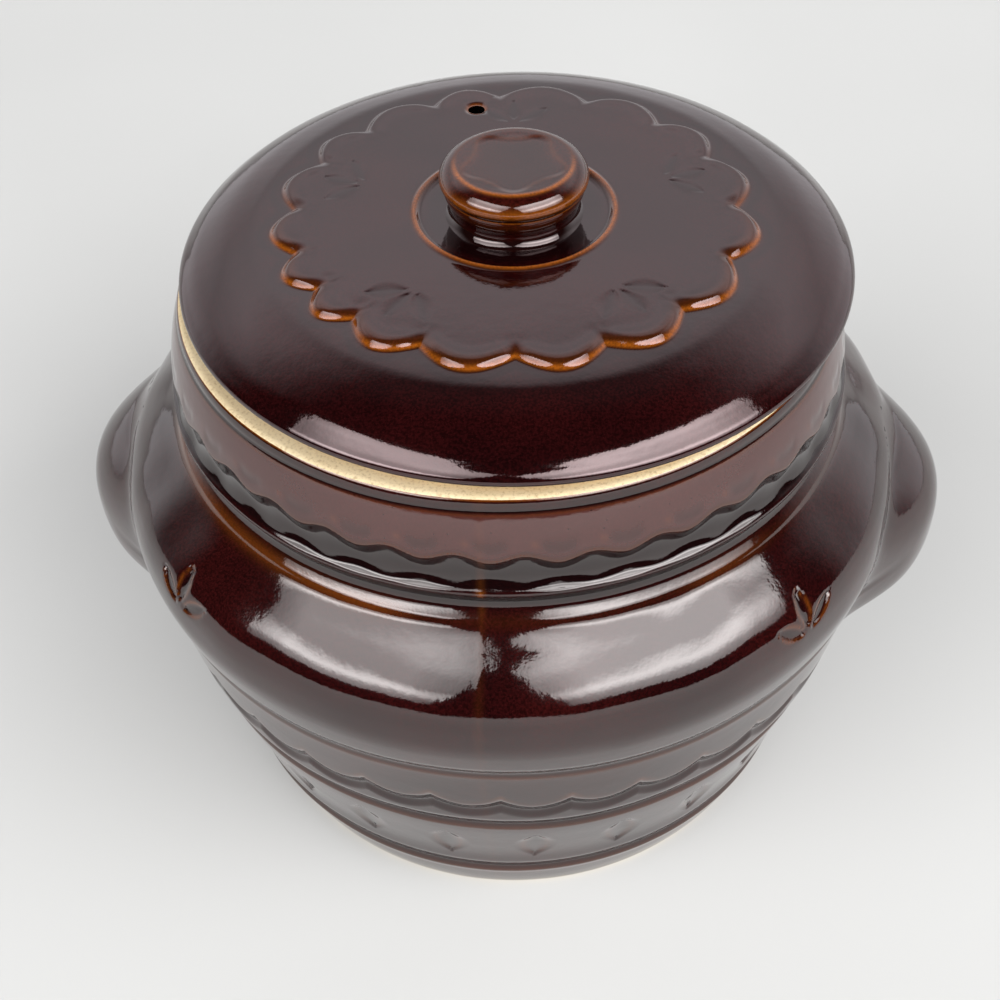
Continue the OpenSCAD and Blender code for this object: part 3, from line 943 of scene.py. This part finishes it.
kaz = np.arange(KNOB_COLUMNS) / KNOB_COLUMNS * TAU - math.pi
knob_rows = spaced(KNOB, lambda r, z: 0.22 if r > 12.0 else 0.3)
relief = knob_relief(kaz, knob_rows[:, :1], knob_rows[:, 1:])
knob_grid = turned(kaz, knob_rows[:, :1], knob_rows[:, 1:] + relief.high)
quads, tris = closed_faces(len(knob_grid), KNOB_COLUMNS, 1)
verts = with_middles(knob_grid, (0, 0, knob_rows[0, 1]), (0, 0, knob_grid[-1, 0, 2]))
norms = with_middles(normals_of(knob_grid), (0, 0, -1), (0, 0, 1))
knob = make_mesh("knob_glazed", set_down(verts), quads, tris, norms @ SPIN,
                 {"thin": with_middles(relief.thin, 0, 0),
                  "pool": with_middles(relief.pool, 0, 0)}, [knob_glaze])
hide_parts("lid_knob")
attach(knob, "lid")

# ---------------------------------------------------------------- floor, light, camera
FLOOR_HALF = 2.6          # metres, as all lengths from here on
floor_mesh = bpy.data.meshes.new("floor")
floor_mesh.from_pydata([(x * FLOOR_HALF, y * FLOOR_HALF, 0)
                        for x, y in ((-1, -1), (1, -1), (1, 1), (-1, 1))], [], [(0, 1, 2, 3)])
floor = bpy.data.objects.new("floor", floor_mesh)
bpy.context.scene.collection.objects.link(floor)
paper, tree, shader, where = new_material("paper")
shader.inputs["Roughness"].default_value = 0.9
sheet = ramp(tree, noise(tree, where, 4.0, 2), [(0.3, (0.585, 0.585, 0.575)),
                                                (0.7, (0.635, 0.635, 0.625))])
# the sheet is paler behind the pot, where less of the lamps' light reaches it
away = map_range(tree, axes_of(tree, where)["Y"], -0.05, 1.2, 0.0, 1.0, "SMOOTHSTEP")
tree.links.new(mix_colour(tree, away, sheet, (0.83, 0.83, 0.815)), shader.inputs["Base Color"])
floor_mesh.materials.append(paper)

LAMP_AIM = Vector((0, 0, 0.12))
LAMP_FAR = 2.4


def lamp(name, azimuth, elevation, width, height, across, along, radiance):
    """A soft rectangular lamp seen from the object in that direction.

    across and along hold (place, share) stops of its brightness over width and height.
    """
    data = bpy.data.lights.new(name, "AREA")
    data.shape = "RECTANGLE"
    data.size, data.size_y = width, height
    data.energy = radiance * math.pi * width * height
    data.use_nodes = True
    tree = data.node_tree
    place = axes_of(tree, node(tree, "ShaderNodeNewGeometry").outputs["Parametric"])
    shares = [ramp(tree, place[axis], [(at, grey(v)) for at, v in stops])
              for axis, stops in (("X", across), ("Y", along))]
    tree.links.new(math_node(tree, "MULTIPLY", *shares), tree.nodes["Emission"].inputs["Strength"])
    a, e = math.radians(azimuth), math.radians(elevation)
    way = Vector((math.sin(a) * math.cos(e), -math.cos(a) * math.cos(e), math.sin(e)))
    obj = bpy.data.objects.new(name, data)
    obj.location = LAMP_AIM + way * LAMP_FAR
    obj.rotation_euler = way.to_track_quat("Z", "Y").to_euler()
    bpy.context.scene.collection.objects.link(obj)


ACROSS = ((0.0, 0.45), (0.25, 1.0), (0.75, 1.0), (1.0, 0.45))
LEFT = ((0.0, 0.2), (0.14, 0.36), (0.22, 0.85), (0.28, 1.0), (0.34, 0.85), (0.44, 0.34),
        (0.64, 0.36), (0.82, 0.58), (1.0, 0.5))
RIGHT = ((0.0, 0.2), (0.2, 0.36), (0.32, 0.85), (0.39, 1.0), (0.45, 0.85), (0.55, 0.50),
         (0.7, 0.50), (0.86, 0.75), (1.0, 0.6))
lamp("soft_left", -42, 37, 2.28, 1.76, ACROSS, LEFT, 9.3)
lamp("soft_right", 49, 37.5, 2.88, 1.76, ACROSS, RIGHT, 10.1)

# a pale wall behind and a dark room elsewhere; the camera itself sees a plain pale backdrop
WALL_LIGHT = 1.25
ROOM_LIGHT = 0.015
ROOM_COLOUR, SEEN_COLOUR = (0.97, 0.97, 1.0, 1), (0.93, 0.93, 0.93, 1)
world = bpy.data.worlds.new("room")
bpy.context.scene.world = world
world.use_nodes = True
tree = world.node_tree
tree.nodes.clear()
way = axes_of(tree, node(tree, "ShaderNodeTexCoord").outputs["Generated"])
back = map_range(tree, way["Y"], 0.0, 0.5, 0.0, 1.0, "SMOOTHSTEP")
bands = ramp(tree, way["Z"], [(0.0, grey(0.85)), (0.42, grey(0.60)), (0.62, grey(0.90)),
                              (0.74, grey(0.66)), (0.87, grey(0.06)), (1.0, grey(0.02))])
behind = math_node(tree, "MULTIPLY", back, bands)
behind = math_node(tree, "MULTIPLY", behind, WALL_LIGHT)
room = node(tree, "ShaderNodeBackground", in_Color=ROOM_COLOUR)
tree.links.new(math_node(tree, "ADD", behind, ROOM_LIGHT), room.inputs["Strength"])
seen = node(tree, "ShaderNodeBackground", in_Color=SEEN_COLOUR, in_Strength=1.0)
both = node(tree, "ShaderNodeMixShader")
tree.links.new(node(tree, "ShaderNodeLightPath").outputs["Is Camera Ray"], both.inputs[0])
tree.links.new(room.outputs[0], both.inputs[1])
tree.links.new(seen.outputs[0], both.inputs[2])
final = node(tree, "ShaderNodeOutputWorld")
tree.links.new(both.outputs[0], final.inputs["Surface"])

# the photo's own view, from the circles of the rim, the lid, the ribs and the foot
cam_data = bpy.data.cameras.new("camera")
cam_data.lens = 54.0
cam_data.sensor_width = 36.0
cam_data.clip_start = 0.01
camera = bpy.data.objects.new("camera", cam_data)
right = Vector((0.99709151, 0.07256033, -0.02331348))
up = Vector((-0.03531742, 0.71097369, 0.70233119))
backwards = Vector((0.06753665, -0.69946509, 0.71146847))
view = Matrix((right, up, backwards)).transposed().to_4x4()
view.translation = Vector((0.0237130, -0.2767556, 0.3508102))
camera.matrix_world = view
bpy.context.scene.collection.objects.link(camera)
bpy.context.scene.camera = camera
bpy.context.scene.view_settings.view_transform = "Standard"
